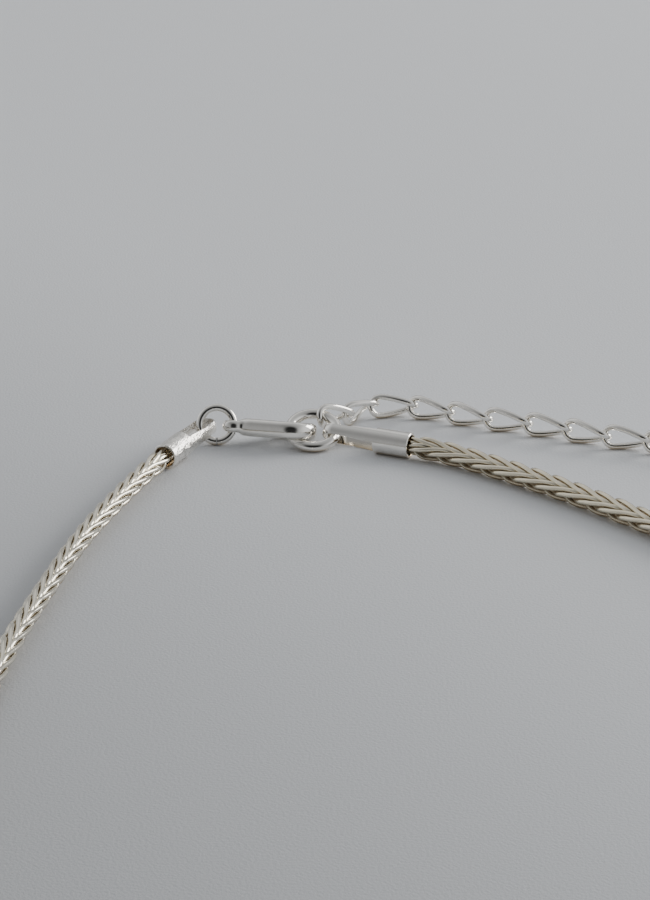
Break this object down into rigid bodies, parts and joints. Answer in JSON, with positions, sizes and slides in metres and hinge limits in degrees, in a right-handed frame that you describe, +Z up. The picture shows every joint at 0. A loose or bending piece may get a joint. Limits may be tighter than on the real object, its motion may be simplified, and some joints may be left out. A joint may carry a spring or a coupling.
{
  "type": "necklace",
  "caption": "Woven square-section silver chain necklace lying open as a loop, with slotted end caps, a lobster clasp on a thick link ring, a jump ring and a curb-link extension chain.",
  "frame": {"origin": "The middle of the neck opening, at the level of the surface that the necklace lies on.", "axes": "+Z is up from that surface. +Y runs from the middle of the opening towards the clasp, along the necklace's greatest length as it lies. +X is to the side on which the extension chain lies."},
  "size_m": [0.098, 0.1646, 0.0046],
  "materials": {
    "woven_silver": "polished woven wire, darker between the wires",
    "polished_silver": "polished with fine hairline scratches"
  },
  "bodies": {
    "necklace": {"main_chain": "woven_silver", "cap_left": "polished_silver", "cap_right": "polished_silver", "jump_ring": "polished_silver", "clasp_body": "polished_silver", "clasp_pin": "polished_silver", "link_ring": "polished_silver", "extension_link_01": "polished_silver", "extension_link_02": "polished_silver", "extension_link_03": "polished_silver", "extension_link_04": "polished_silver", "extension_link_05": "polished_silver", "extension_link_06": "polished_silver", "extension_link_07": "polished_silver", "extension_link_08": "polished_silver", "extension_link_09": "polished_silver", "extension_link_10": "polished_silver", "extension_link_11": "polished_silver", "extension_link_12": "polished_silver"},
    "clasp_lever": {"clasp_lever": "polished_silver"}
  },
  "joints": [
    {"name": "lever_pivot", "type": "hinge", "parent": "necklace", "child": "clasp_lever", "pos_m": [-0.02103, 0.08265, 0.00176], "axis": [-0.0711, -0.364, -0.9287], "range_deg": [0, 25], "stiffness_Nm_per_rad": 0.0005, "springref_deg": -11.46}
  ]
}
